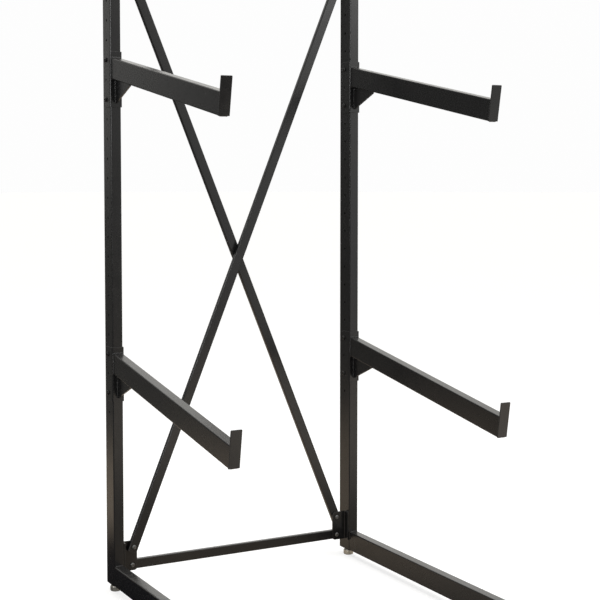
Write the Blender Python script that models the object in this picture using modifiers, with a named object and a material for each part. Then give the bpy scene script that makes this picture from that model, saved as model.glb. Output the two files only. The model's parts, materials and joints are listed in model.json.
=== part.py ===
"""Four arm clothing rack: two punched uprights with feet, cross braces and four sloping arms.

Units are metres, +Z is up. X runs along the crossbars, the arms and the base legs point to -Y.
The origin is on the floor, in the middle of the rack's bounding box.
"""

import math

import bmesh
import bpy
from mathutils import Matrix, Vector

# Driving dimensions ---------------------------------------------------------------------------

HOLE_PITCH = 0.0508  # height step of the punched holes
UPRIGHT_SPACING = 14 * HOLE_PITCH  # centre to centre
UPRIGHT_LENGTH = 33.75 * HOLE_PITCH
FIRST_HOLE = 0.457  # lowest hole above the upright's lower end
HOLE_COUNT = 23
HOLE_RADIUS = 0.0035

UPRIGHT_WIDTH = 0.028  # the uprights' tube, across X
UPRIGHT_DEPTH = 0.056  # front to back
TUBE_WIDTH = 0.026  # base legs and arms, across X
TUBE_DEPTH = 0.053  # the same tube's larger side
TUBE_WALL = 0.002  # of both tubes
TUBE_CORNER = 0.003
BAR_HEIGHT = 0.0254  # crossbars and braces, the side seen from the front
BAR_DEPTH = 0.0127
BAR_WALL = 0.0015
BAR_CORNER = 0.002
GAP = 0.0003  # between pieces that touch
DRILL_LENGTH = 0.024  # of the tools that cut single holes, longer than any wall or bar is thick

FOOT_HEIGHT = 0.018  # floor to the underside of the tubes
PAD_RADIUS = 0.014
PAD_HEIGHT = 0.014
STUD_RADIUS = 0.004
STUD_BORE = STUD_RADIUS + GAP
STUD_LENGTH = 0.022  # above the pad
PAD_RIM = 0.003  # width of the pad's sloping upper edge
NUT_BLOCK_HEIGHT = 0.018  # threaded block in the upright's lower end
NUT_BLOCK_LIFT = 0.001  # its underside above the upright's end
LEG_NUT_RADIUS = 0.0075
LEG_NUT_HEIGHT = 0.0065
LEG_LENGTH = 15 * HOLE_PITCH
LEG_FOOT_INSET = 0.035  # front foot's centre behind the leg's front end
CAP_COVER = 0.003
CAP_PLUG = 0.012
PLUG_CORNER = 0.001

SADDLE_HEIGHT = 0.142
SADDLE_PLATE = 0.002
SADDLE_PLAY = 0.0004  # sliding clearance to the upright
SADDLE_FLANGE = 0.041  # how far the flanges reach back over the upright's sides
SADDLE_CORNER = 0.007
ARM_RISE = 0.0553  # arm's top edge above the saddle's middle, at the upright's front
GUSSET_REACH = 0.102
GUSSET_DROP = 0.062
GUSSET_NOSE = 0.005
GUSSET_PLATE = 0.005
STOP_WIDTH = 0.0275
STOP_LIP = 0.0345  # how far the end stop stands above the arm
STOP_PLATE = 0.0034
STOP_CORNER = 0.005

BOLT_RADIUS = 0.003
BOLT_HEAD_RADIUS = 0.0062
BOLT_HEAD_HEIGHT = 0.0036
NUT_RADIUS = 0.0058
NUT_HEIGHT = 0.005
BOLT_END = 0.002  # thread beyond the nut

BRACKET_HEIGHT = 0.080
BRACKET_PLATE = 0.004
BRACKET_OUT = 0.043  # outstanding flange, from the upright's inner face
BRACKET_SIDE = 0.022  # flange along the upright's inner face
BRACKET_CORNER = 0.008
BRACKET_BOLT_OUT = 0.030
BAR_BOLT_HEIGHT = 0.0456  # crossbar bolt above the upright's lower end
BAR_END_INSET = 0.014  # crossbar's end from the upright's inner face
BRACE_OVERHANG = 0.014  # brace's end beyond its bolt
BRACKET_BACK = 0.023  # outstanding flange's rear face behind the uprights' front face

# name, upright, hole at the saddle's middle, slope in degrees, reach to the end stop's upper edge
ARMS = (
    ("upper_left", -1, 17, 10.2, 0.6675),
    ("upper_right", 1, 17, 10.2, 0.6675),
    ("lower_left", -1, 2, 9.1, 0.7115),
    ("lower_right", 1, 2, 9.1, 0.7115),
)

# Places that follow from the driving dimensions -----------------------------------------------

FRONT = (LEG_LENGTH + CAP_COVER - UPRIGHT_DEPTH) / 2  # Y of the uprights' front face
MIDDLE = FRONT + UPRIGHT_DEPTH / 2  # Y of the holes
LEG_END = FRONT - LEG_LENGTH
TUBE_BOTTOM = FOOT_HEIGHT
TUBE_TOP = TUBE_BOTTOM + UPRIGHT_LENGTH
FLANGE_BACK = FRONT + BRACKET_BACK
FLANGE_FRONT = FLANGE_BACK - BRACKET_PLATE
SIDES = (("left", -1), ("right", 1))
LEVELS = (("lower", 1), ("upper", -1))  # the sign points from the crossbar to the brace bolt

# colour, roughness and metallic value
POWDER_COAT = ((0.018, 0.018, 0.020), 0.42, 0.0)
BLACK_ZINC = ((0.018, 0.018, 0.020), 0.35, 0.4)
ZINC = ((0.62, 0.60, 0.55), 0.38, 0.75)
PLASTIC = ((0.012, 0.012, 0.012), 0.6, 0.0)


def upright_x(side):
    return side * UPRIGHT_SPACING / 2


def hole_z(index):
    return TUBE_BOTTOM + FIRST_HOLE + index * HOLE_PITCH


def bar_z(level):
    """Height of the crossbar's middle at the lower (1) or the upper (-1) end of the uprights."""
    return TUBE_BOTTOM + BAR_BOLT_HEIGHT if level > 0 else TUBE_TOP - BAR_BOLT_HEIGHT


def brace_z(level):
    return bar_z(level) + level * HOLE_PITCH


# Modelling helpers ----------------------------------------------------------------------------


def clear_scene():
    for item in list(bpy.data.objects):
        bpy.data.objects.remove(item, do_unlink=True)


def new_collection(name):
    made = bpy.data.collections.new(name)
    bpy.context.scene.collection.children.link(made)
    return made


def move_to(item, collection):
    for other in list(item.users_collection):
        other.objects.unlink(item)
    collection.objects.link(item)


def paint(item, finish):
    colour, roughness, metallic = finish
    made = bpy.data.materials.new(item.name)
    made.use_nodes = True
    shader = made.node_tree.nodes["Principled BSDF"]
    shader.inputs["Base Color"].default_value = (*colour, 1.0)
    shader.inputs["Roughness"].default_value = roughness
    shader.inputs["Metallic"].default_value = metallic
    item.data.materials.clear()
    item.data.materials.append(made)


def corner_arc(centre, radius, start, steps):
    """Points of a quarter circle, counter-clockwise from the angle start."""
    if radius == 0:
        return [centre]
    angles = [start + math.pi / 2 * i / steps for i in range(steps + 1)]
    return [(centre[0] + radius * math.cos(a), centre[1] + radius * math.sin(a)) for a in angles]


def rounded_rectangle(width, height, radii, steps=2):
    """Outline about the origin; radii are for the corners (+x +y), (-x +y), (-x -y), (+x -y)."""
    points = []
    signs = ((1, 1), (-1, 1), (-1, -1), (1, -1))
    for i, ((sx, sy), radius) in enumerate(zip(signs, radii, strict=True)):
        centre = (sx * (width / 2 - radius), sy * (height / 2 - radius))
        points += corner_arc(centre, radius, i * math.pi / 2, steps)
    return points


def extruded(name, outlines, length):
    """Mesh object of flat outlines in local XY, extruded along Z about the middle."""
    curve = bpy.data.curves.new(name, "CURVE")
    curve.dimensions = "2D"
    curve.fill_mode = "BOTH"
    curve.extrude = length / 2
    for outline in outlines:
        spline = curve.splines.new("POLY")
        spline.points.add(len(outline) - 1)
        for point, (x, y) in zip(spline.points, outline, strict=True):
            point.co = (x, y, 0, 1)
        spline.use_cyclic_u = True
    drawn = bpy.data.objects.new(name + "_outline", curve)
    RACK.objects.link(drawn)
    bpy.context.view_layer.update()
    evaluated = drawn.evaluated_get(bpy.context.evaluated_depsgraph_get())
    mesh = bpy.data.meshes.new_from_object(evaluated)
    bpy.data.objects.remove(drawn)
    bpy.data.curves.remove(curve)
    weld_and_orient(mesh)
    mesh.name = name
    return link_mesh(name, mesh)


def weld_and_orient(mesh):
    work = bmesh.new()
    work.from_mesh(mesh)
    bmesh.ops.remove_doubles(work, verts=work.verts, dist=0.00001)
    bmesh.ops.recalc_face_normals(work, faces=work.faces)
    work.to_mesh(mesh)
    work.free()


def link_mesh(name, mesh):
    item = bpy.data.objects.new(name, mesh)
    RACK.objects.link(item)
    return item


def tube(name, width, height, wall, corner, length):
    """Rectangular tube along local Z with rounded edges, open at both ends."""
    outer = rounded_rectangle(width, height, [corner] * 4)
    inner = rounded_rectangle(width - 2 * wall, height - 2 * wall, [corner - wall] * 4)
    return extruded(name, (outer, inner), length)


def box_between(name, low, high):
    low, high = Vector(low), Vector(high)
    bpy.ops.mesh.primitive_cube_add(size=1)
    item = bpy.context.object
    item.name = item.data.name = name
    item.data.transform(Matrix.LocRotScale((low + high) / 2, None, high - low))
    move_to(item, RACK)
    return item


def cylinder(name, radius, length, sides=12):
    """Cylinder along Z about the origin, with one side flat to +X."""
    bpy.ops.mesh.primitive_cylinder_add(radius=radius, depth=length, vertices=sides)
    item = bpy.context.object
    item.name = item.data.name = name
    item.data.transform(Matrix.Rotation(math.pi / sides, 4, "Z"))
    move_to(item, RACK)
    return item


def bake_modifiers(item):
    """Replaces the object's mesh by its evaluated one."""
    bpy.context.view_layer.update()
    evaluated = item.evaluated_get(bpy.context.evaluated_depsgraph_get())
    mesh = bpy.data.meshes.new_from_object(evaluated)
    item.modifiers.clear()
    item.data = mesh
    mesh.name = item.name


def combine(item, other, operation):
    """Boolean of two objects, applied; the second one stays as a hidden guide."""
    step = item.modifiers.new(operation.lower(), "BOOLEAN")
    step.operation = operation
    step.object = other
    bpy.context.view_layer.update()
    bake_modifiers(item)
    keep_as_guide(other)


def keep_as_guide(item):
    move_to(item, CUTTERS)
    item.hide_render = True
    item.display_type = "WIRE"


def cut(item, *others):
    for other in others:
        combine(item, other, "DIFFERENCE")


def join(item, *others):
    for other in others:
        combine(item, other, "UNION")


ALONG_X = Matrix.Rotation(math.pi / 2, 4, "Y")
ALONG_Y = Matrix.Rotation(-math.pi / 2, 4, "X")
UPRIGHT_FACING_X = Matrix(((0, 0, 1, 0), (1, 0, 0, 0), (0, 1, 0, 0), (0, 0, 0, 1)))  # XYZ to YZX


def drill(item, at, radius, turn):
    """Cuts a round hole through the point at; turn brings the Z axis onto the hole's axis."""
    tool = cylinder(item.name + "_drill", radius, DRILL_LENGTH)
    tool.matrix_world = Matrix.Translation(at) @ turn
    cut(item, tool)


def punch_row(item, x, z, count):
    """Cuts holes along X through both sides, a pitch apart, the lowest one at height z."""
    punch = cylinder(item.name + "_punch", HOLE_RADIUS, 2 * UPRIGHT_WIDTH, sides=10)
    punch.data.transform(ALONG_X)
    punch.location = (x, MIDDLE, z)
    row = punch.modifiers.new("row", "ARRAY")
    row.count = count
    row.use_relative_offset = False
    row.use_constant_offset = True
    row.constant_offset_displace = (0, 0, HOLE_PITCH)
    cut(item, punch)


def apply_place(item):
    item.data.transform(item.matrix_basis)
    item.matrix_basis = Matrix()


# Frame ----------------------------------------------------------------------------------------


def make_upright(label, side):
    item = tube(
        "upright_" + label, UPRIGHT_WIDTH, UPRIGHT_DEPTH, TUBE_WALL, TUBE_CORNER, UPRIGHT_LENGTH
    )
    item.location = (upright_x(side), MIDDLE, (TUBE_BOTTOM + TUBE_TOP) / 2)
    apply_place(item)
    punch_row(item, upright_x(side), hole_z(0), HOLE_COUNT)
    paint(item, POWDER_COAT)


def make_base_leg(label, side):
    item = tube("base_leg_" + label, TUBE_WIDTH, TUBE_DEPTH, TUBE_WALL, TUBE_CORNER, LEG_LENGTH - GAP)
    item.matrix_world = (
        Matrix.Translation(
            (upright_x(side), (LEG_END + FRONT - GAP) / 2, TUBE_BOTTOM + TUBE_DEPTH / 2)
        )
        @ ALONG_Y
    )
    apply_place(item)
    foot = (upright_x(side), LEG_END + LEG_FOOT_INSET, TUBE_BOTTOM)
    drill(item, foot, STUD_BORE + GAP, Matrix())
    paint(item, POWDER_COAT)


def plug_with_cover(name, width, depth):
    """Tube plug along +Z: the cover's top is at z = CAP_COVER, the tube's end at z = -GAP."""
    item = extruded(name, [rounded_rectangle(width, depth, [TUBE_CORNER] * 4)], CAP_COVER)
    item.location.z = CAP_COVER / 2
    apply_place(item)
    inside = 2 * (TUBE_WALL + GAP)
    plug = extruded(
        name + "_plug",
        [rounded_rectangle(width - inside, depth - inside, [PLUG_CORNER] * 4)],
        CAP_PLUG + CAP_COVER / 2,
    )
    plug.location.z = -CAP_PLUG / 2 + CAP_COVER / 4
    join(item, plug)
    paint(item, PLASTIC)
    return item


def make_upright_cap(label, side):
    item = plug_with_cover("upright_cap_" + label, UPRIGHT_WIDTH, UPRIGHT_DEPTH)
    item.location = (upright_x(side), MIDDLE, TUBE_TOP + GAP)


def make_leg_cap(label, side):
    item = plug_with_cover("leg_cap_" + label, TUBE_WIDTH, TUBE_DEPTH)
    item.matrix_world = Matrix.Translation(
        (upright_x(side), LEG_END - GAP, TUBE_BOTTOM + TUBE_DEPTH / 2)
    ) @ Matrix.Rotation(math.pi / 2, 4, "X")
    apply_place(item)


def make_upright_nut(label, side):
    """Block pressed into the upright's lower end, threaded for the foot's stud."""
    inside = 2 * (TUBE_WALL + GAP)
    item = extruded(
        "foot_nut_upright_" + label,
        [rounded_rectangle(UPRIGHT_WIDTH - inside, UPRIGHT_DEPTH - inside, [PLUG_CORNER] * 4)],
        NUT_BLOCK_HEIGHT,
    )
    at = (upright_x(side), MIDDLE, TUBE_BOTTOM + NUT_BLOCK_LIFT + NUT_BLOCK_HEIGHT / 2)
    item.location = at
    apply_place(item)
    drill(item, at, STUD_BORE, Matrix())
    paint(item, PLASTIC)


def make_leg_nut(label, side):
    """Hexagon nut welded on the inside of the leg's lower wall."""
    item = cylinder("foot_nut_leg_" + label, LEG_NUT_RADIUS, LEG_NUT_HEIGHT, sides=6)
    height = TUBE_BOTTOM + TUBE_WALL + GAP + LEG_NUT_HEIGHT / 2
    at = (upright_x(side), LEG_END + LEG_FOOT_INSET, height)
    item.location = at
    apply_place(item)
    drill(item, at, STUD_BORE, Matrix())
    paint(item, ZINC)


def make_foot(name, x, y):
    """Levelling foot: a round pad on a stud, turned about Z."""
    profile = (
        (0, PAD_HEIGHT + STUD_LENGTH),
        (STUD_RADIUS, PAD_HEIGHT + STUD_LENGTH),
        (STUD_RADIUS, PAD_HEIGHT),
        (PAD_RADIUS - PAD_RIM, PAD_HEIGHT),
        (PAD_RADIUS, PAD_HEIGHT - PAD_RIM * 2 / 3),
        (PAD_RADIUS, PAD_RIM / 2),
        (PAD_RADIUS - PAD_RIM / 2, 0),
        (0, 0),
    )
    mesh = bpy.data.meshes.new(name)
    edges = [(i, i + 1) for i in range(len(profile) - 1)]
    mesh.from_pydata([(x_, 0, z_) for x_, z_ in profile], edges, [])
    item = link_mesh(name, mesh)
    turn = item.modifiers.new("turn", "SCREW")
    turn.steps = turn.render_steps = 20
    turn.use_merge_vertices = True
    turn.merge_threshold = 0.00001
    turn.use_normal_calculate = False
    bake_modifiers(item)
    weld_and_orient(item.data)
    item.location = (x, y, 0)
    paint(item, ZINC)


def make_crossbar(label, level):
    length = UPRIGHT_SPACING - UPRIGHT_WIDTH - 2 * BAR_END_INSET
    item = tube("crossbar_" + label, BAR_HEIGHT, BAR_DEPTH, BAR_WALL, BAR_CORNER, length)
    middle_y = FLANGE_BACK + GAP + BAR_DEPTH / 2
    item.matrix_world = Matrix.Translation((0, middle_y, bar_z(level))) @ ALONG_X
    apply_place(item)
    for _, side in SIDES:
        drill(item, (bracket_bolt_x(side), middle_y, bar_z(level)), HOLE_RADIUS, ALONG_Y)
    paint(item, POWDER_COAT)


def bracket_bolt_x(side):
    return side * (UPRIGHT_SPACING / 2 - UPRIGHT_WIDTH / 2 - BRACKET_BOLT_OUT)


def make_brace(name, low_side, middle_y):
    """Brace from the lower corner on low_side to the opposite upper corner."""
    low = Vector((bracket_bolt_x(low_side), middle_y, brace_z(1)))
    high = Vector((bracket_bolt_x(-low_side), middle_y, brace_z(-1)))
    along = high - low
    item = tube(
        name, BAR_HEIGHT, BAR_DEPTH, BAR_WALL, BAR_CORNER, along.length + 2 * BRACE_OVERHANG
    )
    lean = Matrix.Rotation(math.atan2(along.x, along.z), 4, "Y")
    item.matrix_world = Matrix.Translation((low + high) / 2) @ lean
    apply_place(item)
    for end in (low, high):
        drill(item, end, HOLE_RADIUS, ALONG_Y)
    paint(item, POWDER_COAT)


def make_bracket(name, side, level):
    """Corner angle: one flange on the upright's inner face, one standing out for the bars."""
    inner = upright_x(side) - side * (UPRIGHT_WIDTH / 2 + GAP)
    middle = (bar_z(level) + brace_z(level)) / 2
    outer_corner = [BRACKET_CORNER, 0, 0, BRACKET_CORNER]
    if side > 0:
        outer_corner = [0, BRACKET_CORNER, BRACKET_CORNER, 0]
    item = extruded(
        name, [rounded_rectangle(BRACKET_OUT, BRACKET_HEIGHT, outer_corner, 3)], BRACKET_PLATE
    )
    item.matrix_world = (
        Matrix.Translation(
            (inner - side * BRACKET_OUT / 2, FLANGE_BACK - BRACKET_PLATE / 2, middle)
        )
        @ Matrix.Rotation(math.pi / 2, 4, "X")
    )
    apply_place(item)
    xs = sorted((inner, inner - side * BRACKET_PLATE))
    join(
        item,
        box_between(
            name + "_side",
            (xs[0], FLANGE_BACK - BRACKET_SIDE, middle - BRACKET_HEIGHT / 2),
            (xs[1], FLANGE_BACK, middle + BRACKET_HEIGHT / 2),
        ),
    )
    for z in (bar_z(level), brace_z(level)):
        drill(item, (bracket_bolt_x(side), FLANGE_BACK, z), HOLE_RADIUS, ALONG_Y)
    paint(item, POWDER_COAT)


# Fasteners ------------------------------------------------------------------------------------


def bolt_mesh(name, grip):
    """Bolt along local +Z with its nut run on; the head's underside is at z = -GAP."""
    item = cylinder(name, BOLT_HEAD_RADIUS, BOLT_HEAD_HEIGHT, sides=12)
    item.location.z = -GAP - BOLT_HEAD_HEIGHT / 2
    apply_place(item)
    end = grip + GAP + NUT_HEIGHT + BOLT_END
    shank = cylinder(name + "_shank", BOLT_RADIUS, end + BOLT_HEAD_HEIGHT / 2, sides=12)
    shank.location.z = end / 2 - BOLT_HEAD_HEIGHT / 4
    nut = cylinder(name + "_nut", NUT_RADIUS, NUT_HEIGHT, sides=6)
    nut.location.z = grip + GAP + NUT_HEIGHT / 2
    join(item, shank, nut)
    return item


def place_bolt(name, pattern, at, turn, finish):
    item = link_mesh(name, pattern.data.copy())
    item.matrix_world = Matrix.Translation(at) @ turn
    apply_place(item)
    paint(item, finish)


def make_bracket_bolts():
    """Heads to the front. A brace in front of the flange is gripped with it, the others behind."""
    pattern = bolt_mesh("bracket_bolt_pattern", BRACKET_PLATE + GAP + BAR_DEPTH)
    for level_name, level in LEVELS:
        for side_name, side in SIDES:
            label = f"{level_name}_{side_name}"
            at = Vector((bracket_bolt_x(side), FLANGE_FRONT, bar_z(level)))
            place_bolt("bar_bolt_" + label, pattern, at, ALONG_Y, ZINC)
            brace_in_front = side == -level
            at = Vector((bracket_bolt_x(side), FLANGE_FRONT, brace_z(level)))
            if brace_in_front:
                at.y -= GAP + BAR_DEPTH
            place_bolt("brace_bolt_" + label, pattern, at, ALONG_Y, ZINC)
    keep_as_guide(pattern)


# Arms -----------------------------------------------------------------------------------------


def make_saddle(label, x, z):
    """U-shaped plate that grips the upright's front and both sides."""
    half = UPRIGHT_WIDTH / 2 + SADDLE_PLAY
    web_back = FRONT - SADDLE_PLAY
    depth = SADDLE_PLATE + SADDLE_PLAY + SADDLE_FLANGE
    flange_corners = [SADDLE_CORNER, 0, 0, SADDLE_CORNER]
    item = extruded(
        "arm_saddle_" + label,
        [rounded_rectangle(depth, SADDLE_HEIGHT, flange_corners, 3)],
        2 * (half + SADDLE_PLATE),
    )
    item.matrix_world = (
        Matrix.Translation((x, web_back - SADDLE_PLATE + depth / 2, z)) @ UPRIGHT_FACING_X
    )
    apply_place(item)
    cut(
        item,
        box_between(
            item.name + "_channel",
            (x - half, web_back, z - SADDLE_HEIGHT),
            (x + half, web_back + 2 * depth, z + SADDLE_HEIGHT),
        ),
    )
    punch_row(item, x, z - HOLE_PITCH, 3)
    paint(item, POWDER_COAT)


def arm_frame(x, z, slope):
    """Arm's own axes: local +Z runs out along the arm's top edge, local +Y is square to it, up."""
    top = Vector((x, FRONT, z + ARM_RISE))
    along = Vector((0, -math.cos(slope), -math.sin(slope)))
    up = Vector((0, -math.sin(slope), math.cos(slope)))
    axes = Matrix((up.cross(along), up, along)).transposed().to_4x4()
    return Matrix.Translation(top) @ axes


def stop_distance(slope, reach):
    """Distance along the arm to the end stop's front face."""
    return (reach - STOP_LIP * math.sin(slope)) / math.cos(slope)


def make_arm_tube(label, x, z, slope, reach):
    root = FRONT - SADDLE_PLAY - SADDLE_PLATE - GAP
    end = stop_distance(slope, reach) - STOP_PLATE - GAP
    start = -TUBE_WIDTH  # behind the root, cut off below
    item = tube("arm_tube_" + label, TUBE_WIDTH, TUBE_DEPTH, TUBE_WALL, TUBE_CORNER, end - start)
    item.matrix_world = arm_frame(x, z, slope) @ Matrix.Translation(
        (0, -TUBE_DEPTH / 2, (start + end) / 2)
    )
    apply_place(item)
    low = (x - TUBE_DEPTH, root, z - SADDLE_HEIGHT)
    high = (x + TUBE_DEPTH, root + 2 * TUBE_DEPTH, z + SADDLE_HEIGHT)
    cut(item, box_between(item.name + "_mitre", low, high))
    paint(item, POWDER_COAT)


def make_gusset(label, x, z, slope):
    """Three-sided plate under the arm's root, with a blunt nose."""
    back = -(SADDLE_PLAY + SADDLE_PLATE + GAP)

    def underside(y):
        return ARM_RISE - TUBE_DEPTH / math.cos(slope) + y * math.tan(slope) - GAP

    outline = (
        (back, underside(back)),
        (-GUSSET_REACH, underside(-GUSSET_REACH)),
        (-GUSSET_REACH, underside(-GUSSET_REACH) - GUSSET_NOSE),
        (back, -GUSSET_DROP),
    )
    item = extruded("arm_gusset_" + label, [outline], GUSSET_PLATE)
    item.matrix_world = Matrix.Translation((x, FRONT, z)) @ UPRIGHT_FACING_X
    apply_place(item)
    paint(item, POWDER_COAT)


def make_end_stop(label, x, z, slope, reach):
    height = TUBE_DEPTH + STOP_LIP
    corners = [STOP_CORNER, STOP_CORNER, PLUG_CORNER, PLUG_CORNER]
    item = extruded(
        "arm_end_stop_" + label, [rounded_rectangle(STOP_WIDTH, height, corners, 3)], STOP_PLATE
    )
    middle = Matrix.Translation(
        (0, STOP_LIP - height / 2, stop_distance(slope, reach) - STOP_PLATE / 2)
    )
    item.matrix_world = arm_frame(x, z, slope) @ middle
    apply_place(item)
    paint(item, POWDER_COAT)


def make_arm_bolts(label, x, z, pattern):
    """Two bolts through saddle and upright, heads to -X, at the outer two of three holes."""
    outside = UPRIGHT_WIDTH / 2 + SADDLE_PLAY + SADDLE_PLATE
    for place, step in (("low", -1), ("high", 1)):
        at = Vector((x - outside, MIDDLE, z + step * HOLE_PITCH))
        place_bolt(f"arm_bolt_{label}_{place}", pattern, at, ALONG_X, BLACK_ZINC)


def make_arms():
    pattern = bolt_mesh("arm_bolt_pattern", UPRIGHT_WIDTH + 2 * (SADDLE_PLAY + SADDLE_PLATE))
    for label, side, hole, degrees, reach in ARMS:
        x, z, slope = upright_x(side), hole_z(hole), math.radians(degrees)
        make_saddle(label, x, z)
        make_arm_tube(label, x, z, slope, reach)
        make_gusset(label, x, z, slope)
        make_end_stop(label, x, z, slope, reach)
        make_arm_bolts(label, x, z, pattern)
    keep_as_guide(pattern)


def main():
    for label, side in SIDES:
        make_upright(label, side)
        make_base_leg(label, side)
        make_upright_cap(label, side)
        make_leg_cap(label, side)
        make_upright_nut(label, side)
        make_leg_nut(label, side)
        make_foot("foot_back_" + label, upright_x(side), MIDDLE)
        make_foot("foot_front_" + label, upright_x(side), LEG_END + LEG_FOOT_INSET)
    for label, level in LEVELS:
        make_crossbar(label, level)
        for side_label, side in SIDES:
            make_bracket(f"corner_bracket_{label}_{side_label}", side, level)
    make_brace("brace_front", -1, FLANGE_FRONT - GAP - BAR_DEPTH / 2)
    make_brace("brace_rear", 1, FLANGE_BACK + GAP + BAR_DEPTH / 2)
    make_bracket_bolts()
    make_arms()


clear_scene()
RACK = new_collection("clothing_rack")
CUTTERS = new_collection("cutters")
main()
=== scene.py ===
"""Looks of the four arm clothing rack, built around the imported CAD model.

Units are metres, in the CAD model's frame: +Z is up, the arms and base legs point to -Y.
Every tube, plate, plug, bolt and levelling foot of the CAD model is rebuilt here with its rounded
corners, eased edges, bend radii and threads, in the place that the CAD node's box gives, and the
weld beads are added. Only the nuts inside the tubes keep their CAD meshes.
"""

import json
import math

import bmesh
import bpy
from mathutils import Matrix, Vector


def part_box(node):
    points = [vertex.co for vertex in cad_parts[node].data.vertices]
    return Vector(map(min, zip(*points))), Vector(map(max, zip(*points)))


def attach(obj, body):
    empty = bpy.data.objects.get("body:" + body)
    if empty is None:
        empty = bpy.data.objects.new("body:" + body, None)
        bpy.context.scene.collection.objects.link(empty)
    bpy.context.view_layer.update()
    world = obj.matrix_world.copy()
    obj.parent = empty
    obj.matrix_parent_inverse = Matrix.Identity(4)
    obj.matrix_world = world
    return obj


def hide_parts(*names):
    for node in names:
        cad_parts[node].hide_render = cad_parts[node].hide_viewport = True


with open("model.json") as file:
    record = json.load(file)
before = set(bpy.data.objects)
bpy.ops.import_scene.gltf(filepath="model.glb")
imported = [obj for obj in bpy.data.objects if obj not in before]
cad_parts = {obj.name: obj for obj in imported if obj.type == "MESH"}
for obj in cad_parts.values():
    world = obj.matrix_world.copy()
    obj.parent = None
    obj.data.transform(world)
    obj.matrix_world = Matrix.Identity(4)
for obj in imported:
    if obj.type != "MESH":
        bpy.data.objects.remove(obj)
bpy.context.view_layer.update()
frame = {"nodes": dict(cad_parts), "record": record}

# Detail sizes ---------------------------------------------------------------------------------

TUBE_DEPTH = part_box("base_leg_left")[1].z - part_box("base_leg_left")[0].z  # base legs and arms
TUBE_WALL = 0.002
TUBE_CORNER = 0.003
BAR_WALL = 0.0015
BAR_CORNER = 0.002
CORNER_STEPS = 6
EDGE = 0.0004  # eased edge of a cut tube end, a plate or a punched hole
RIM_EASE = 0.3  # share of the edge where a hole's rim is already turned half way

HOLE_RADIUS = 0.0035
HOLE_SIDES = 32
HOLE_CELL = 0.008  # half the height of the patch of wall that is built around a hole
HOLES_BETWEEN_ARMS = 15  # pitches from the lower to the upper arm
HOLES_BELOW_ARM = 2  # below the middle of the lower saddle
HOLE_COUNT = 23

SADDLE_PLATE = 0.002
SADDLE_CORNER = 0.007
BRACKET_PLATE = 0.004
BRACKET_CORNER = 0.008
BEND_RADIUS = 0.0012  # inner radius of a folded plate
BEND_STEPS = 8
GUSSET_NOSE = 0.005
STOP_CORNER = 0.002  # end stop's upper corners
STOP_FOOT_CORNER = 0.001  # its lower corners
STOP_EDGE = 0.0009
BRACE_OVERHANG = 0.014  # brace's end beyond its bolt

PLUG_SHARES = (0.3, 0.6, 1.0)  # where the plug cover's crown is drawn, from its rim to its middle
PLUG_DROP = 0.8  # height of the cover's rounded rim, as a share of its radius

BOLT_RADIUS = 0.003
BOLT_THREAD_PITCH = 0.001
BOLT_POINT = 0.72  # end of the thread, as a share of the radius
HEAD_HEIGHT = 0.0036
HEAD_DOME = 0.8  # domed share of the height
HEAD_STEPS = 7
SOCKET_RADIUS = 0.0023  # across the corners of the hexagon socket, halved
SOCKET_DEPTH = 0.002
NUT_RADIUS = 0.0058  # across the corners, halved
NUT_HEIGHT = 0.005
NUT_CHAMFER = 0.16  # share of the height
NUT_FACE = 0.97  # radius of its round end face, as a share of half the width across flats
NUT_STEPS = 4
NUT_END = 0.002  # thread beyond the nut

STUD_RADIUS = 0.004
STUD_PITCH = 0.00125
STUD_START = 0.001  # thread's start above the pad
STUD_END = 0.0008  # bare end above the thread
STUD_POINT = 0.7  # end of the stud, as a share of the radius
PAD_HEIGHT = 0.014
PAD_SHOULDER = 0.0022
# pad's rolled lower rim as (share of the radius, height)
PAD_RIM = ((0.55, 0.0), (0.88, 0.0), (0.93, 0.0004), (0.94, 0.0014), (0.99, 0.0019), (1.0, 0.0026))
PAD_DISH = (0.62, -0.0004)  # share of the pad's radius, height from its top
PAD_COLLAR = ((1.5, -0.0005), (1.18, -0.0001), (0.92, 0.0006))  # the same in the stud's radii

ROUND_SIDES = 36
THREAD_STEPS = 6  # rings in each turn of a thread
THREAD_DEPTH = 0.6  # share of the pitch
PIECE_GAP = 0.0003  # between pieces that touch

WELD_RADIUS = 0.0024  # round an arm's root
SMALL_WELD_RADIUS = 0.0016
WELD_RIPPLE = 0.0022  # length of one ripple
WELD_RIPPLE_HEIGHT = 0.07  # share of the radius
WELD_RIPPLE_LAG = 1.3  # in radians, between the bead's crown and its flanks
WELD_DRIFT = 0.017  # length of one slow swelling
WELD_DRIFT_HEIGHT = 0.05  # share of the radius
WELD_DRIFT_SHIFT = 90  # radians a metre across, so that no two beads swell alike
WELD_END = 0.002  # square of the radius share that is left at a bead's very end
WELD_SIDES = 14
WELD_STEP = 0.0004
WELD_CORNER_STEPS = 8

SMOOTH_ANGLE = math.radians(40)
SLOPE_ROUNDS = 30  # far more than the arm's slope needs to settle

UP = Vector((0, 0, 1))
BACK = Vector((0, 1, 0))
ACROSS = Vector((1, 0, 0))
LEVELS = ("lower", "upper")
SIDES = (("left", -1), ("right", 1))
ARMS = ("upper_left", "upper_right", "lower_left", "lower_right")
BODY_OF = {
    node: body
    for body, nodes in frame["record"]["behaviour"]["bodies"].items()
    for node in nodes
}


def middle(node):
    low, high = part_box(node)
    return (low + high) / 2


def reach(node, direction):
    """How far the node's box reaches in the direction, which runs along an axis."""
    return max(corner.dot(direction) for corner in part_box(node))


def axes(origin, along, up):
    """Matrix whose local +Z is along and local +Y is up, at the origin given."""
    along, up = Vector(along).normalized(), Vector(up).normalized()
    turn = Matrix((up.cross(along), up, along)).transposed().to_4x4()
    return Matrix.Translation(origin) @ turn


# Mesh building --------------------------------------------------------------------------------


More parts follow.
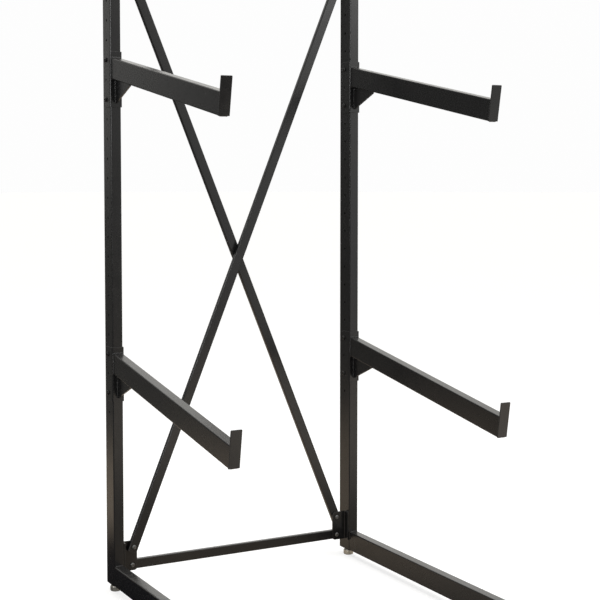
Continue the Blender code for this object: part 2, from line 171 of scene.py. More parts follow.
def rounded_rectangle(width, height, radii, steps=CORNER_STEPS):
    """Outline about the origin; radii are for the corners (+x +y), (-x +y), (-x -y), (+x -y)."""
    points = []
    signs = ((1, 1), (-1, 1), (-1, -1), (1, -1))
    for i, ((sx, sy), radius) in enumerate(zip(signs, radii, strict=True)):
        centre_x, centre_y = sx * (width / 2 - radius), sy * (height / 2 - radius)
        for step in range(steps + 1):
            angle = math.pi / 2 * (i + step / steps)
            x = centre_x + radius * math.cos(angle)
            points.append((x, centre_y + radius * math.sin(angle)))
    return points


def circle(centre, radius, sides):
    angles = [math.tau * i / sides for i in range(sides)]
    return [(centre[0] + radius * math.cos(a), centre[1] + radius * math.sin(a)) for a in angles]


def hexagon_radius(across_flats, angle):
    """Distance from the middle of a hexagon to its outline in the direction of the angle."""
    sixth = math.pi / 3
    return across_flats / 2 / math.cos((angle + sixth / 2) % sixth - sixth / 2)


def add_ring(work, points):
    return [work.verts.new(point) for point in points]


def bridge(work, first, second):
    """Quads between two rings with the same number of points."""
    for i in range(len(first)):
        j = (i + 1) % len(first)
        work.faces.new((first[i], first[j], second[j], second[i]))


def loft(work, rings, capped=True):
    """Skin over rings of points. It is capped at both ends, or its last ring joins the first."""
    made = [add_ring(work, ring) for ring in rings]
    for first, second in zip(made, made[1:]):
        bridge(work, first, second)
    if capped:
        work.faces.new(made[0])
        work.faces.new(made[-1])
    else:
        bridge(work, made[-1], made[0])


def place(work, matrix):
    bmesh.ops.transform(work, matrix=matrix, verts=work.verts)


def punch(work, outer, inner, radius):
    """Round hole with eased rims between two wall patches, each given by its four corners.

    Corners run (+u +v), (-u +v), (-u -v), (+u -v) about the hole.
    """
    centre = sum((corner.co for corner in outer), Vector()) / 4
    behind = sum((corner.co for corner in inner), Vector()) / 4
    inward = behind - centre
    wall = inward.length
    inward.normalize()
    u = (outer[0].co - outer[1].co).normalized()
    v = (outer[0].co - outer[3].co).normalized()
    profile = (
        (radius + EDGE, 0),
        (radius + EDGE * RIM_EASE, EDGE * RIM_EASE),
        (radius, EDGE),
        (radius, wall - EDGE / 2),
        (radius + EDGE / 2, wall),
    )
    rings = []
    for ring_radius, depth in profile:
        flat = circle((0, 0), ring_radius, HOLE_SIDES)
        rings.append(add_ring(work, [centre + u * x + v * y + inward * depth for x, y in flat]))
    for first, second in zip(rings, rings[1:]):
        bridge(work, first, second)
    quarter = HOLE_SIDES // 4
    for corners, ring in ((outer, rings[0]), (inner, rings[-1])):
        for i in range(4):
            start = quarter // 2 + i * quarter
            arc = [ring[(start + k) % HOLE_SIDES] for k in range(quarter + 1)]
            work.faces.new([corners[i], *arc, corners[(i + 1) % 4]])


def tube(width, depth, wall, corner, length, holes=(), slant=0.0):
    """Rectangular tube along local +Z from z = 0, with rounded corners and eased ends.

    holes are (face, z), where face is 0 for +Y, 1 for -X, 2 for -Y and 3 for +X.
    With a slant, the end at z = 0 leans forward by that share of the distance below the top.
    """
    work = bmesh.new()
    inner_corner = max(corner - wall, EDGE)

    def outline(inset, radius):
        return rounded_rectangle(width - 2 * inset, depth - 2 * inset, [radius] * 4)

    def ring(points, z, leans):
        lean = slant if leans else 0.0
        return add_ring(work, [(x, y, z + lean * (depth / 2 - y)) for x, y in points])

    levels = [EDGE, length - EDGE]
    for z in {z for _, z in holes}:
        levels += [z - HOLE_CELL, z + HOLE_CELL]
    levels.sort()
    outside = [ring(outline(0, corner), z, i == 0) for i, z in enumerate(levels)]
    inside = [ring(outline(wall, inner_corner), z, i == 0) for i, z in enumerate(levels)]
    count = len(outside[0])
    sides = {}
    for face in range(4):
        sides[(face + 1) * (CORNER_STEPS + 1) - 1] = face
    for level, z in enumerate(levels[:-1]):
        for i in range(count):
            j = (i + 1) % count
            walls = [
                (skin[level + 1][j], skin[level + 1][i], skin[level][i], skin[level][j])
                for skin in (outside, inside)
            ]
            if any(face == sides.get(i) and abs(z + HOLE_CELL - at) < EDGE for face, at in holes):
                punch(work, *walls, HOLE_RADIUS)
            else:
                for corners in walls:
                    work.faces.new(corners)
    rim = outline(EDGE, corner - EDGE)
    for skin_level, z, leans in ((0, 0.0, True), (-1, length, False)):
        end = ring(rim, z, leans)
        bridge(work, outside[skin_level], end)
        bridge(work, end, inside[skin_level])
    return work


def plate(outlines, thickness, edge=EDGE):
    """Flat plate in local XY about z = 0 with eased edges; outlines after the first are holes."""
    curve = bpy.data.curves.new("outline", "CURVE")
    curve.dimensions = "2D"
    curve.fill_mode = "BOTH"
    curve.extrude = thickness / 2 - edge
    curve.bevel_depth = edge
    curve.bevel_resolution = 2
    curve.offset = -edge
    for outline in outlines:
        spline = curve.splines.new("POLY")
        spline.points.add(len(outline) - 1)
        for point, (x, y) in zip(spline.points, outline, strict=True):
            point.co = (x, y, 0, 1)
        spline.use_cyclic_u = True
    drawn = bpy.data.objects.new("outline", curve)
    bpy.context.scene.collection.objects.link(drawn)
    bpy.context.view_layer.update()
    evaluated = drawn.evaluated_get(bpy.context.evaluated_depsgraph_get())
    work = bmesh.new()
    work.from_mesh(evaluated.to_mesh())
    evaluated.to_mesh_clear()
    bpy.data.objects.remove(drawn)
    bpy.data.curves.remove(curve)
    bmesh.ops.remove_doubles(work, verts=work.verts, dist=EDGE / 100)
    return work


def fold(work, start, side, thickness):
    """Folds a flat plate beyond side * x = start by a quarter turn about Y, towards +Z."""
    neutral = BEND_RADIUS + thickness / 2
    span = neutral * math.pi / 2
    for i in range(BEND_STEPS + 1):
        cut = Vector((side * (start + span * i / BEND_STEPS), 0, 0))
        everything = [*work.verts, *work.edges, *work.faces]
        bmesh.ops.bisect_plane(work, geom=everything, plane_co=cut, plane_no=ACROSS, dist=1e-7)
    for vertex in work.verts:
        over = side * vertex.co.x - start
        if over > 0:
            angle = min(over / neutral, math.pi / 2)
            beyond = max(over - span, 0)
            radius = neutral - vertex.co.z
            vertex.co.x = side * (start + radius * math.sin(angle))
            vertex.co.z = neutral - radius * math.cos(angle) + beyond


def thread_rings(radius, pitch, low, high, sides=ROUND_SIDES):
    """Rings of a screw thread about local Z, from z = low to z = high."""
    count = math.ceil((high - low) / pitch * THREAD_STEPS)
    rings = []
    for i in range(count + 1):
        z = low + (high - low) * i / count
        points = []
        for k in range(sides):
            phase = (z / pitch - k / sides) % 1
            r = radius - pitch * THREAD_DEPTH * abs(2 * phase - 1)
            angle = math.tau * k / sides
            points.append((r * math.cos(angle), r * math.sin(angle), z))
        rings.append(points)
    return rings


def turned(profile, sides=ROUND_SIDES):
    """Rings about local Z for (radius, z) pairs."""
    return [[(x, y, z) for x, y in circle((0, 0), radius, sides)] for radius, z in profile]


def hexagon_ring(across_flats, limit, z, sides=ROUND_SIDES):
    """Hexagon whose corners are cut back to the circle of radius limit."""
    points = []
    for k in range(sides):
        angle = math.tau * k / sides
        r = min(hexagon_radius(across_flats, angle), limit)
        points.append((r * math.cos(angle), r * math.sin(angle), z))
    return points


def bead(work, path, out, forward, radius, closed=False):
    """Weld bead along the path: a round whose surface ripples, with drawn-in ends if it is open.

    out and forward give, for each point, the two directions square to the path.
    """
    lengths = [0.0]
    for a, b in zip(path, path[1:]):
        lengths.append(lengths[-1] + (b - a).length)
    total = lengths[-1]
    rings = []
    for point, side, front, along in zip(path, out, forward, lengths, strict=True):
        r = radius
        if not closed:
            end = min(along, total - along, radius)
            r *= math.sqrt(max(1 - (1 - end / radius) ** 2, WELD_END))
        points = []
        for k in range(WELD_SIDES):
            angle = math.tau * k / WELD_SIDES
            lag = WELD_RIPPLE_LAG * math.cos(angle - math.pi / 4)
            wave = WELD_RIPPLE_HEIGHT * math.cos(math.tau * along / WELD_RIPPLE + lag)
            shift = point.x * WELD_DRIFT_SHIFT
            drift = WELD_DRIFT_HEIGHT * math.sin(math.tau * along / WELD_DRIFT + shift)
            swell = r * (1 + wave + drift)
            points.append(point + (side * math.cos(angle) + front * math.sin(angle)) * swell)
        rings.append(points)
    loft(work, rings, capped=not closed)


def straight_bead(work, start, end, out, forward):
    start, end = Vector(start), Vector(end)
    count = math.ceil((end - start).length / WELD_STEP)
    path = [start.lerp(end, i / count) for i in range(count + 1)]
    bead(work, path, [out] * len(path), [forward] * len(path), SMALL_WELD_RADIUS)


def add_piece(name, work, coat, body, stands_for=()):
    """Makes the mesh a piece on a CAD body, in place of the CAD nodes that it stands for."""
    bmesh.ops.recalc_face_normals(work, faces=work.faces)
    mesh = bpy.data.meshes.new(name)
    work.to_mesh(mesh)
    work.free()
    mesh.shade_smooth()
    mesh.set_sharp_from_angle(angle=SMOOTH_ANGLE)
    mesh.materials.append(coat)
    piece = bpy.data.objects.new(name, mesh)
    bpy.context.scene.collection.objects.link(piece)
    normals = piece.modifiers.new("even_normals", "WEIGHTED_NORMAL")
    normals.keep_sharp = True
    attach(piece, body)
    if stands_for:
        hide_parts(*stands_for)


def rebuild(node, work, coat):
    """The finely made piece that stands for one CAD node."""
    add_piece(node + "_fine", work, coat, BODY_OF[node], [node])


# Materials ------------------------------------------------------------------------------------

COAT_SHADES = ((0.0062, 0.0062, 0.0068), (0.0098, 0.0096, 0.0098))
COAT_SPECKLE = (0.022, 0.022, 0.023)
# lighter colour at the edges: worn coat, and also a painted highlight along the corners
COAT_WEAR_AND_HIGHLIGHT = (0.080, 0.078, 0.074)
COAT_SCRATCH = (0.16, 0.158, 0.155)
COAT_DUST = (0.30, 0.285, 0.26)
FOOT_SHADES = ((0.60, 0.575, 0.50), (0.74, 0.72, 0.66))
# darker colour low on the pads: floor grime and painted contact shade
FOOT_GRIME_AND_SHADE = (0.10, 0.092, 0.080)
PLASTIC_SHADES = ((0.0110, 0.0110, 0.0112), (0.0170, 0.0168, 0.0165))
PLASTIC_DUST = (0.28, 0.265, 0.24)

# cosines between the true and the smoothed normal: where an edge begins and where it is full
EDGE_TURN = (0.995, 0.9)
UPWARD = (0.55, 0.95)  # upward share of the normal where dust begins and where it is full


class Nodes:
    """Short hand for building one material's node tree."""

    def __init__(self, name):
        self.material = bpy.data.materials.new(name)
        self.material.use_nodes = True
        self.tree = self.material.node_tree
        self.shader = self.tree.nodes["Principled BSDF"]
        self.place = self.add("ShaderNodeTexCoord").outputs["Object"]

    def add(self, kind, **settings):
        node = self.tree.nodes.new(kind)
        for key, value in settings.items():
            setattr(node, key, value)
        return node

    def put(self, socket, value):
        """Links an output to a socket, or sets the socket's own value."""
        if isinstance(value, bpy.types.NodeSocket):
            self.tree.links.new(value, socket)
        else:
            socket.default_value = value

    def vector(self, operation, *values):
        """Outputs of a vector calculation: the vector is at 0, the number is "Value"."""
        node = self.add("ShaderNodeVectorMath", operation=operation)
        for socket, value in zip(node.inputs, values):
            self.put(socket, value)
        return node.outputs

    def noise(self, scale, detail=3.0, roughness=0.5, stretch=None):
        node = self.add("ShaderNodeTexNoise")
        place = self.vector("MULTIPLY", self.place, stretch)[0] if stretch else self.place
        self.put(node.inputs["Vector"], place)
        self.put(node.inputs["Scale"], scale)
        self.put(node.inputs["Detail"], detail)
        self.put(node.inputs["Roughness"], roughness)
        return node.outputs["Fac"]

    def remap(self, value, low, high, new_low=0.0, new_high=1.0):
        node = self.add("ShaderNodeMapRange", clamp=True)
        for socket, number in zip(node.inputs, (value, low, high, new_low, new_high)):
            self.put(socket, number)
        return node.outputs[0]

    def math(self, operation, first, second=0.0):
        node = self.add("ShaderNodeMath", operation=operation)
        self.put(node.inputs[0], first)
        self.put(node.inputs[1], second)
        return node.outputs[0]

    def mix(self, share, first, second):
        node = self.add("ShaderNodeMix", data_type="RGBA")
        self.put(node.inputs["Factor"], share)
        for socket, colour in ((node.inputs[6], first), (node.inputs[7], second)):
            self.put(socket, (*colour, 1.0) if isinstance(colour, tuple) else colour)
        return node.outputs[2]

    def edges(self, radius):
        """0 on flat stretches, towards 1 where the surface turns within the radius."""
        soft = self.add("ShaderNodeBevel", samples=4)
        self.put(soft.inputs["Radius"], radius)
        sharp = self.add("ShaderNodeNewGeometry").outputs["Normal"]
        likeness = self.vector("DOT_PRODUCT", soft.outputs[0], sharp)["Value"]
        return self.remap(likeness, *EDGE_TURN)

    def facing_up(self):
        """0 on walls and undersides, 1 on surfaces that face up."""
        split = self.add("ShaderNodeSeparateXYZ")
        self.put(split.inputs[0], self.add("ShaderNodeNewGeometry").outputs["Normal"])
        return self.remap(split.outputs["Z"], *UPWARD)

    def bump(self, *layers):
        """Bump layers as (height, distance in metres), the coarsest first."""
        normal = None
        for height, distance in layers:
            node = self.add("ShaderNodeBump")
            self.put(node.inputs["Strength"], 1.0)
            self.put(node.inputs["Distance"], distance)
            self.put(node.inputs["Height"], height)
            if normal is not None:
                self.put(node.inputs["Normal"], normal)
            normal = node.outputs[0]
        self.put(self.shader.inputs["Normal"], normal)

    def finish(self, colour, roughness, metallic=0.0):
        self.put(self.shader.inputs["Base Color"], colour)
        self.put(self.shader.inputs["Roughness"], roughness)
        self.put(self.shader.inputs["Metallic"], metallic)
        return self.material


def powder_coat(name, rubbed):
    """Satin black powder coat: orange peel, faint cloudiness, dust on top, and edges lightened both
    as worn coat and as a painted highlight.

    If it is rubbed, hangers have polished and scratched its upper faces.
    """
    n = Nodes(name)
    clouds = n.noise(5.0, detail=4.0)
    patches = n.noise(38.0, detail=5.0, roughness=0.6)
    peel = n.noise(780.0, detail=1.0)
    grain = n.noise(2600.0, detail=2.0)
    speckle = n.remap(n.noise(1500.0, detail=0.0), 0.68, 0.76)
    colour = n.mix(clouds, *COAT_SHADES)
    colour = n.mix(n.math("MULTIPLY", speckle, 0.20), colour, COAT_SPECKLE)
    # edges lightened: partly worn coat, partly a painted highlight along the rounded corners
    edge = n.math("MULTIPLY", n.edges(0.0016), n.remap(patches, 0.35, 0.7, 0.4, 1.0))
    colour = n.mix(n.math("MULTIPLY", edge, 0.5), colour, COAT_WEAR_AND_HIGHLIGHT)
    up = n.facing_up()
    dust = n.math("MULTIPLY", up, n.remap(patches, 0.38, 0.72, 0.02, 0.07))
    colour = n.mix(dust, colour, COAT_DUST)
    roughness = n.remap(clouds, 0.25, 0.75, 0.22, 0.28)
    roughness = n.math("ADD", roughness, n.remap(patches, 0.3, 0.7, -0.03, 0.03))
    roughness = n.math("ADD", roughness, n.math("MULTIPLY", dust, 0.3))
    roughness = n.math("SUBTRACT", roughness, n.math("MULTIPLY", edge, 0.06))
    if rubbed:
        scratches = n.noise(60.0, detail=6.0, roughness=0.7, stretch=(0.12, 14.0, 3.0))
        marks = n.math("MULTIPLY", n.remap(scratches, 0.60, 0.66), up)
        colour = n.mix(n.math("MULTIPLY", marks, 0.45), colour, COAT_SCRATCH)
        roughness = n.math("SUBTRACT", roughness, n.math("MULTIPLY", marks, 0.08))
    n.bump((patches, 0.00002), (peel, 0.000004), (grain, 0.000001))
    return n.finish(colour, roughness)


def plated(name, dull, bright, worn_and_highlight):
    """Bolts and nuts: blotched zinc plating, with edges lightened both where tools have rubbed the
    plating and as a painted highlight.
    """
    n = Nodes(name)
    blotch = n.noise(420.0, detail=4.0)
    grain = n.noise(3000.0, detail=3.0)
    edge = n.math("MULTIPLY", n.edges(0.0005), n.remap(blotch, 0.35, 0.65, 0.3, 1.0))
    colour = n.mix(n.remap(blotch, 0.3, 0.7), dull, bright)
    # edges lightened: partly rubbed plating, partly a painted highlight
    colour = n.mix(n.math("MULTIPLY", edge, 0.55), colour, worn_and_highlight)
    roughness = n.remap(blotch, 0.3, 0.7, 0.40, 0.28)
    n.bump((blotch, 0.00001), (grain, 0.000004))
    return n.finish(colour, roughness, n.remap(blotch, 0.3, 0.7, 0.75, 0.95))


def pale_zinc():
    """Levelling feet: pale zinc plating, slightly yellow, darker low on the pad with floor grime and
    a painted contact shade.
    """
    n = Nodes("pale_zinc")
    spangle = n.noise(260.0, detail=3.0)
    grain = n.noise(2200.0, detail=3.0)
    colour = n.mix(spangle, *FOOT_SHADES)
    split = n.add("ShaderNodeSeparateXYZ")
    n.put(split.inputs[0], n.place)
    # darker towards the pad's bottom: floor grime, and painted contact shade where the pad meets the
    # floor
    low = n.remap(split.outputs["Z"], 0.004, 0.0)
    grime_and_shade = n.math("MULTIPLY", low, n.remap(n.noise(300.0, detail=5.0), 0.35, 0.6))
    colour = n.mix(n.math("MULTIPLY", grime_and_shade, 0.75), colour, FOOT_GRIME_AND_SHADE)
    roughness = n.math("ADD", n.remap(spangle, 0.3, 0.7, 0.26, 0.40), n.math("MULTIPLY", grime_and_shade, 0.3))
    n.bump((spangle, 0.00001), (grain, 0.000003))
    return n.finish(colour, roughness, n.remap(grime_and_shade, 0.0, 1.0, 0.85, 0.2))


def black_plastic():
    """Tube plugs: matt moulded polyethylene with a spark-eroded grain."""
    n = Nodes("black_plastic")
    clouds = n.noise(60.0, detail=3.0)
    grain = n.noise(1700.0, detail=2.0)
    dust = n.math("MULTIPLY", n.facing_up(), n.remap(clouds, 0.4, 0.7, 0.02, 0.12))
    colour = n.mix(clouds, *PLASTIC_SHADES)
    colour = n.mix(dust, colour, PLASTIC_DUST)
    roughness = n.remap(clouds, 0.3, 0.7, 0.52, 0.66)
    n.bump((grain, 0.00003))
    return n.finish(colour, roughness)


# Frame pieces ---------------------------------------------------------------------------------


def hole_heights():
    """Heights of the uprights' holes, from the saddles' middles and the number of pitches."""
    lowest = middle("arm_saddle_lower_left").z
    pitch = (middle("arm_saddle_upper_left").z - lowest) / HOLES_BETWEEN_ARMS
    return [lowest + (i - HOLES_BELOW_ARM) * pitch for i in range(HOLE_COUNT)]


def make_upright(side):
    node = "upright_" + side
    low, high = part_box(node)
    size = high - low
    holes = [(face, z - low.z) for z in hole_heights() for face in (1, 3)]
    work = tube(size.x, size.y, TUBE_WALL, TUBE_CORNER, size.z, holes)
    centre = middle(node)
    place(work, axes((centre.x, centre.y, low.z), UP, BACK))
    rebuild(node, work, COAT)


def make_base_leg(side):
    node = "base_leg_" + side
    low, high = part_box(node)
    size = high - low
    work = tube(size.x, size.z, TUBE_WALL, TUBE_CORNER, size.y)
    centre = middle(node)
    place(work, axes((centre.x, high.y, centre.z), -BACK, UP))
    rebuild(node, work, COAT)


def make_leg_welds(side):
    """Beads where the leg's end meets the upright's front, above and below."""
    low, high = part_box("base_leg_" + side)
    work = bmesh.new()
    for z, up in ((high.z, UP), (low.z, -UP)):
        start, end = (low.x + TUBE_CORNER, high.y, z), (high.x - TUBE_CORNER, high.y, z)
        straight_bead(work, start, end, up, -BACK)
    add_piece("weld_leg_" + side, work, COAT, "frame")


def plug(width, depth, cover, length):
    """Tube plug along +Z with a softly crowned cover on z = 0."""
    inset = TUBE_WALL + PIECE_GAP
    soft = cover / 2
    stages = [(inset + EDGE, -length), (inset, EDGE - length), (inset, 0), (EDGE, 0), (0, EDGE)]
    for i in range(CORNER_STEPS + 1):
        angle = math.pi / 2 * i / CORNER_STEPS
        rise = soft * math.sin(angle) * PLUG_DROP
        stages.append((soft * (1 - math.cos(angle)), cover - soft + rise))
    crown = cover - stages[-1][1]
    for share in PLUG_SHARES:
        inset = soft + share * (width / 2 - 2 * soft)
        stages.append((inset, cover - crown * (1 - math.sin(share * math.pi / 2))))
    rings = []
    for inset, z in stages:
        radius = max(TUBE_CORNER - inset, EDGE)
        outline = rounded_rectangle(width - 2 * inset, depth - 2 * inset, [radius] * 4)
        rings.append([(x, y, z) for x, y in outline])
    work = bmesh.new()
    loft(work, rings)
    return work


def make_cap(node, holder, along, up):
    """Plug in the holder's end that looks along the direction given."""
    low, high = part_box(node)
    size = high - low
    tube_end = reach(holder, along)
    cover = reach(node, along) - tube_end
    work = plug(size.x, abs(size.dot(up)), cover, abs(size.dot(along)) - cover)
    centre = middle(node)
    origin = centre + along * (tube_end + PIECE_GAP - centre.dot(along))
    place(work, axes(origin, along, up))
    rebuild(node, work, PLASTIC)


def make_foot(node):
    """Round levelling pad with a dished top, on a threaded stud."""
    low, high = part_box(node)
    radius = (high.x - low.x) / 2
    height = high.z - low.z
    profile = [(radius * share, z) for share, z in PAD_RIM]
    for i in range(CORNER_STEPS + 1):
        angle = math.pi / 2 * i / CORNER_STEPS
        z = PAD_HEIGHT - PAD_SHOULDER + PAD_SHOULDER * math.sin(angle)
        profile.append((radius - PAD_SHOULDER + PAD_SHOULDER * math.cos(angle), z))
    profile.append((radius * PAD_DISH[0], PAD_HEIGHT + PAD_DISH[1]))
    profile += [(STUD_RADIUS * share, PAD_HEIGHT + z) for share, z in PAD_COLLAR]
    rings = turned(profile)
    rings += thread_rings(STUD_RADIUS, STUD_PITCH, PAD_HEIGHT + STUD_START, height - STUD_END)
    rings += turned([(STUD_RADIUS * STUD_POINT, height)])
    work = bmesh.new()
    loft(work, rings)
    centre = middle(node)
    place(work, Matrix.Translation((centre.x, centre.y, low.z)))
    rebuild(node, work, ZINC)


def make_crossbar(level):
    node = "crossbar_" + level
    low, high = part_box(node)
    size = high - low
    holes = []
    for side, _ in SIDES:
        at = middle(f"bar_bolt_{level}_{side}").x - low.x
        holes += [(0, at), (2, at)]
    work = tube(size.z, size.y, BAR_WALL, BAR_CORNER, size.x, holes)
    centre = middle(node)
    place(work, axes((low.x, centre.y, centre.z), ACROSS, BACK))
    rebuild(node, work, COAT)


def make_brace(node, low_bolt, high_bolt):
    """Brace through two bolts, with an equal overhang beyond each."""
    centre_y = middle(node).y
    low, high = middle(low_bolt), middle(high_bolt)
    low.y = high.y = centre_y
    along = high - low
    length = along.length + 2 * BRACE_OVERHANG
    holes = [(face, z) for z in (BRACE_OVERHANG, length - BRACE_OVERHANG) for face in (0, 2)]
    bar_low, bar_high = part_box("crossbar_lower")
    size = bar_high - bar_low
    work = tube(size.z, size.y, BAR_WALL, BAR_CORNER, length, holes)
    place(work, axes(low - along.normalized() * BRACE_OVERHANG, along, BACK))
    rebuild(node, work, COAT)


def make_bracket(level, side, sign):
    """Corner angle, folded from plate, with its two bolt holes."""
    node = f"corner_bracket_{level}_{side}"
    low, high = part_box(node)
    size = high - low
    outer_bend = BEND_RADIUS + BRACKET_PLATE
    neutral = BEND_RADIUS + BRACKET_PLATE / 2
    flat = size.x - outer_bend
    flange = size.y - outer_bend
    width = flat + neutral * math.pi / 2 + flange
    corners = [EDGE, BRACKET_CORNER, BRACKET_CORNER, EDGE]
    shift = width / 2 - flat
    outline = [(x + shift, y) for x, y in rounded_rectangle(width, size.z, corners)]
    upright_side = high.x if sign > 0 else low.x
    outlines = [outline]
    centre_z = (low.z + high.z) / 2
    for fastener in (f"bar_bolt_{level}_{side}", f"brace_bolt_{level}_{side}"):
        at = middle(fastener)
        x = outer_bend - abs(upright_side - at.x)
        outlines.append(circle((x, sign * (at.z - centre_z)), HOLE_RADIUS, HOLE_SIDES))
    work = plate(outlines, BRACKET_PLATE)
    fold(work, 0.0, 1, BRACKET_PLATE)
    origin = Vector((upright_side - sign * outer_bend, high.y - BRACKET_PLATE / 2, centre_z))
    place(work, axes(origin, -BACK, sign * UP))
    rebuild(node, work, COAT)

    beads = bmesh.new()
    for z, up in ((high.z, UP), (low.z, -UP)):
        start = (upright_side, low.y + SMALL_WELD_RADIUS, z)
        end = (upright_side, high.y - outer_bend, z)
        straight_bead(beads, start, end, up, -sign * ACROSS)
    add_piece(f"weld_bracket_{level}_{side}", beads, COAT, "frame")


# Fasteners ------------------------------------------------------------------------------------


def bolt(length, head_radius):
    """Button head bolt with a hexagon socket along +Z from the head's top, with its nut."""
    work = bmesh.new()
    flats = 2 * SOCKET_RADIUS * math.cos(math.pi / 6)
    rings = [hexagon_ring(flats, SOCKET_RADIUS, SOCKET_DEPTH)]
    rings.append(hexagon_ring(flats, SOCKET_RADIUS, EDGE / 2))
    rings += turned([(SOCKET_RADIUS + EDGE, 0.0)])
    dome = HEAD_HEIGHT * HEAD_DOME
    for i in range(1, HEAD_STEPS + 1):
        angle = math.pi / 2 * i / HEAD_STEPS
        radius = SOCKET_RADIUS + EDGE + (head_radius - SOCKET_RADIUS - EDGE) * math.sin(angle)
        rings += turned([(radius, dome * (1 - math.cos(angle)))])
    rim = HEAD_HEIGHT - EDGE
    rings += turned([(head_radius, rim), (head_radius - EDGE, HEAD_HEIGHT)])
    thread_start = length - NUT_END - NUT_HEIGHT - EDGE
    rings += turned([(BOLT_RADIUS, HEAD_HEIGHT), (BOLT_RADIUS, thread_start)])
    rings += thread_rings(BOLT_RADIUS, BOLT_THREAD_PITCH, thread_start + EDGE, length - EDGE)
    rings += turned([(BOLT_RADIUS * BOLT_POINT, length)])
    loft(work, rings)

    flats = 2 * NUT_RADIUS * math.cos(math.pi / 6)
    face = flats / 2 * NUT_FACE
    top = length - NUT_END
    bottom = top - NUT_HEIGHT
    chamfer = NUT_HEIGHT * NUT_CHAMFER
    steps = [i / NUT_STEPS for i in range(NUT_STEPS + 1)]
    cut = [(face + (NUT_RADIUS - face) * step, chamfer * step) for step in steps]
    stages = [(limit, bottom + z) for limit, z in cut]
    stages += [(limit, top - z) for limit, z in reversed(cut)]
    loft(work, [hexagon_ring(flats, limit, z) for limit, z in stages])
    return work


def make_bolt(node, along, coat):
    """Bolt whose thread points along the direction given, with its nut."""
    low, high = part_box(node)
    length = abs((high - low).dot(along))
    work = bolt(length, (high.z - low.z) / 2)
    place(work, axes((low + high) / 2 - along * length / 2, along, UP))
    rebuild(node, work, coat)


# Arms -----------------------------------------------------------------------------------------


def arm_slope(label):
    """Slope of the arm, from the box of its tube: its height is reach * tan + depth * cos."""
    low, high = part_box("arm_tube_" + label)
    size = high - low
    slope = 0.0
    for _ in range(SLOPE_ROUNDS):
        slope = math.atan((size.z - TUBE_DEPTH * math.cos(slope)) / size.y)
    return slope


def arm_axes(label):
    """Arm's own axes at the top of its root: +Z runs out along the arm, +Y is square to it, up."""
    low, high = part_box("arm_tube_" + label)
    slope = arm_slope(label)
    along = Vector((0, -math.cos(slope), -math.sin(slope)))
    up = Vector((0, -math.sin(slope), math.cos(slope)))
    return axes(((low.x + high.x) / 2, high.y, high.z), along, up)


def make_arm_tube(label):
    node = "arm_tube_" + label
    low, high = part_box(node)
    slope = arm_slope(label)
    length = (high.y - low.y) / math.cos(slope)
    work = tube(
        high.x - low.x, TUBE_DEPTH, TUBE_WALL, TUBE_CORNER, length, slant=math.tan(slope)
    )
    place(work, arm_axes(label) @ Matrix.Translation((0, -TUBE_DEPTH / 2, 0)))
    rebuild(node, work, ARM_COAT)


def make_saddle(label):
    """U-shaped saddle folded from plate, with three bolt holes in each flange."""
    node = "arm_saddle_" + label
    low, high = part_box(node)
    size = high - low
    outer_bend = BEND_RADIUS + SADDLE_PLATE
    neutral = BEND_RADIUS + SADDLE_PLATE / 2
    flat = size.x / 2 - outer_bend
    bend = neutral * math.pi / 2
    flange = size.y - outer_bend
    width = 2 * (flat + bend + flange)
    outlines = [rounded_rectangle(width, size.z, [SADDLE_CORNER] * 4)]
    heights = hole_heights()
    pitch = heights[1] - heights[0]
    depth = middle("arm_bolt_" + label + "_low").y - low.y
    for side in (-1, 1):
        x = side * (flat + bend + depth - outer_bend)
        for step in (-1, 0, 1):
            outlines.append(circle((x, step * pitch), HOLE_RADIUS, HOLE_SIDES))
    work = plate(outlines, SADDLE_PLATE)
    for side in (-1, 1):
        fold(work, flat, side, SADDLE_PLATE)
    centre = (low + high) / 2
    origin = Vector((centre.x, low.y + SADDLE_PLATE / 2, centre.z))
    place(work, axes(origin, BACK, UP))
    rebuild(node, work, COAT)


def make_gusset(label):
    """Plate under the arm's root with a blunt nose, following the arm's underside."""
    node = "arm_gusset_" + label
    low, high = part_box(node)
    size = high - low
    slope = math.tan(arm_slope(label))
    centre = (low + high) / 2
    half_y, half_z = size.y / 2, size.z / 2
    outline = [
        (half_y, half_z),
        (-half_y, half_z - size.y * slope),
        (-half_y, half_z - size.y * slope - GUSSET_NOSE),
        (half_y, -half_z),
    ]
    work = plate([outline], size.x)
    place(work, axes(centre, ACROSS, UP))
    rebuild(node, work, COAT)


def make_end_stop(label):
    """Plate square to the arm on its tip, which stands above it."""
    node = "arm_end_stop_" + label
    low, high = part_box(node)
    slope = arm_slope(label)
    size = high - low
    cos, sin = math.cos(slope), math.sin(slope)
    # the box of a tilted plate: size.y = t * cos + h * sin, size.z = h * cos + t * sin
    spread = cos * cos - sin * sin
    height = (size.z * cos - size.y * sin) / spread
    thickness = (size.y * cos - size.z * sin) / spread
    corners = [STOP_CORNER, STOP_CORNER, STOP_FOOT_CORNER, STOP_FOOT_CORNER]
    work = plate([rounded_rectangle(size.x, height, corners)], thickness, STOP_EDGE)
    turn = arm_axes(label).to_3x3().to_4x4()
    place(work, Matrix.Translation((low + high) / 2) @ turn)
    rebuild(node, work, ARM_COAT)


